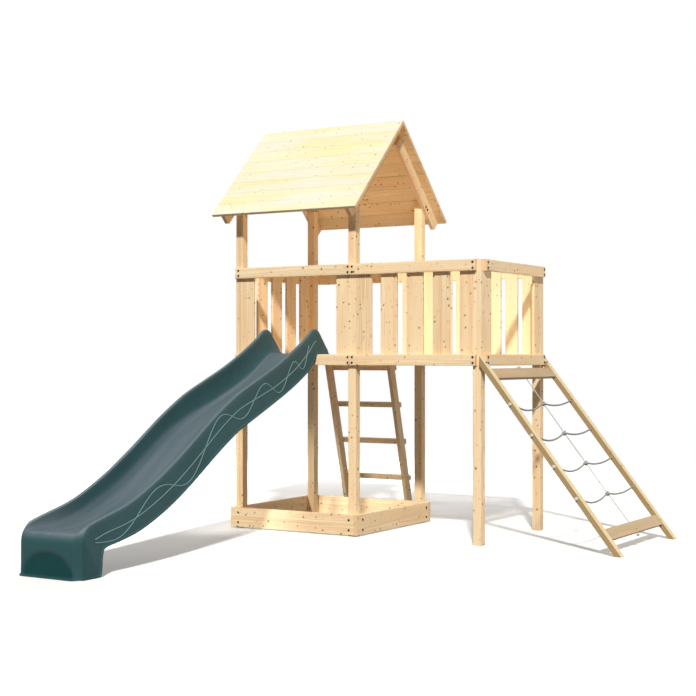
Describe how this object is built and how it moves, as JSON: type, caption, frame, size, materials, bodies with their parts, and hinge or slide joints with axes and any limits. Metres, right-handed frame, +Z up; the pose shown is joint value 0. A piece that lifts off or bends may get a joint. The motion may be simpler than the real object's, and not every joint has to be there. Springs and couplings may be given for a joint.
{
  "type": "climbing frame",
  "caption": "Wooden play tower with gable roof, platform extension, sandbox, leaning ladder, moulded wave slide and inclined climbing net.",
  "frame": {"origin": "Centre of the foot of the tower post at the front right, on the ground.", "axes": "X along the front towards the net ramp, Y from the slide's side to the ladder's side, Z up."},
  "size_m": [3.012, 3.892, 2.91],
  "materials": {
    "spruce": "planed, untreated spruce",
    "ramp_timber": "planed, pressure treated pine",
    "slide_plastic": "moulded, satin dark green",
    "rope": "laid grey rope",
    "screw_black": "black, domed heads"
  },
  "bodies": {
    "frame": {"post_front_left": "spruce", "post_front_right": "spruce", "post_back_left": "spruce", "post_back_right": "spruce", "post_ext_front": "spruce", "post_ext_back": "spruce", "low_rail_front_tower": "spruce", "low_rail_front_ext": "spruce", "low_rail_right": "spruce", "low_rail_back_ext": "spruce", "low_rail_back_tower": "spruce", "low_rail_left": "spruce", "top_rail_front_tower": "spruce", "top_rail_front_ext": "spruce", "top_rail_right": "spruce", "top_rail_back_ext": "spruce", "top_rail_back_tower": "spruce", "top_rail_left": "spruce", "joists": "spruce", "deck_tower": "spruce", "deck_ext": "spruce", "deck_strips": "spruce", "slats_front_tower": "spruce", "slats_front_ext": "spruce", "slats_left": "spruce", "slats_back_tower": "spruce", "slats_back_ext": "spruce", "slats_right": "spruce", "rafter_front_left": "spruce", "rafter_front_right": "spruce", "rafter_back_left": "spruce", "rafter_back_right": "spruce", "roof_front": "spruce", "roof_back": "spruce", "sandbox_front": "spruce", "sandbox_right": "spruce", "sandbox_back": "spruce", "sandbox_left": "spruce", "ladder_stile_left": "spruce", "ladder_stile_right": "spruce", "ladder_rungs": "spruce", "slide": "slide_plastic", "ramp_beam_front": "ramp_timber", "ramp_beam_back": "ramp_timber", "ramp_boards": "ramp_timber", "rope_centre": "rope", "rope_ends": "rope", "screws_front": "screw_black", "screws_back": "screw_black", "screws_sides": "screw_black", "screws_frame": "screw_black"},
    "rope_1_front": {"rope_1_front": "rope"},
    "rope_1_back": {"rope_1_back": "rope"},
    "rope_2_front": {"rope_2_front": "rope"},
    "rope_2_back": {"rope_2_back": "rope"},
    "rope_3_front": {"rope_3_front": "rope"},
    "rope_3_back": {"rope_3_back": "rope"},
    "rope_4_front": {"rope_4_front": "rope"},
    "rope_4_back": {"rope_4_back": "rope"}
  },
  "joints": [
    {"name": "rope_1_front_swing", "type": "hinge", "parent": "frame", "child": "rope_1_front", "pos_m": [1.19979, -0.0017, 0.92368], "axis": [0, 0.9998, -0.0218], "range_deg": [-40, 40]},
    {"name": "rope_1_back_swing", "type": "hinge", "parent": "frame", "child": "rope_1_back", "pos_m": [1.19979, 0.9467, 0.92368], "axis": [0, -0.9998, -0.0218], "range_deg": [-40, 40]},
    {"name": "rope_2_front_swing", "type": "hinge", "parent": "frame", "child": "rope_2_front", "pos_m": [1.35063, -0.0017, 0.73062], "axis": [0, 0.9998, -0.0218], "range_deg": [-40, 40]},
    {"name": "rope_2_back_swing", "type": "hinge", "parent": "frame", "child": "rope_2_back", "pos_m": [1.35063, 0.9467, 0.73062], "axis": [0, -0.9998, -0.0218], "range_deg": [-40, 40]},
    {"name": "rope_3_front_swing", "type": "hinge", "parent": "frame", "child": "rope_3_front", "pos_m": [1.50147, -0.0017, 0.53756], "axis": [0, 0.9998, -0.0218], "range_deg": [-40, 40]},
    {"name": "rope_3_back_swing", "type": "hinge", "parent": "frame", "child": "rope_3_back", "pos_m": [1.50147, 0.9467, 0.53756], "axis": [0, -0.9998, -0.0218], "range_deg": [-40, 40]},
    {"name": "rope_4_front_swing", "type": "hinge", "parent": "frame", "child": "rope_4_front", "pos_m": [1.6523, -0.0017, 0.34449], "axis": [0, 0.9998, -0.0218], "range_deg": [-40, 40]},
    {"name": "rope_4_back_swing", "type": "hinge", "parent": "frame", "child": "rope_4_back", "pos_m": [1.6523, 0.9467, 0.34449], "axis": [0, -0.9998, -0.0218], "range_deg": [-40, 40]}
  ]
}
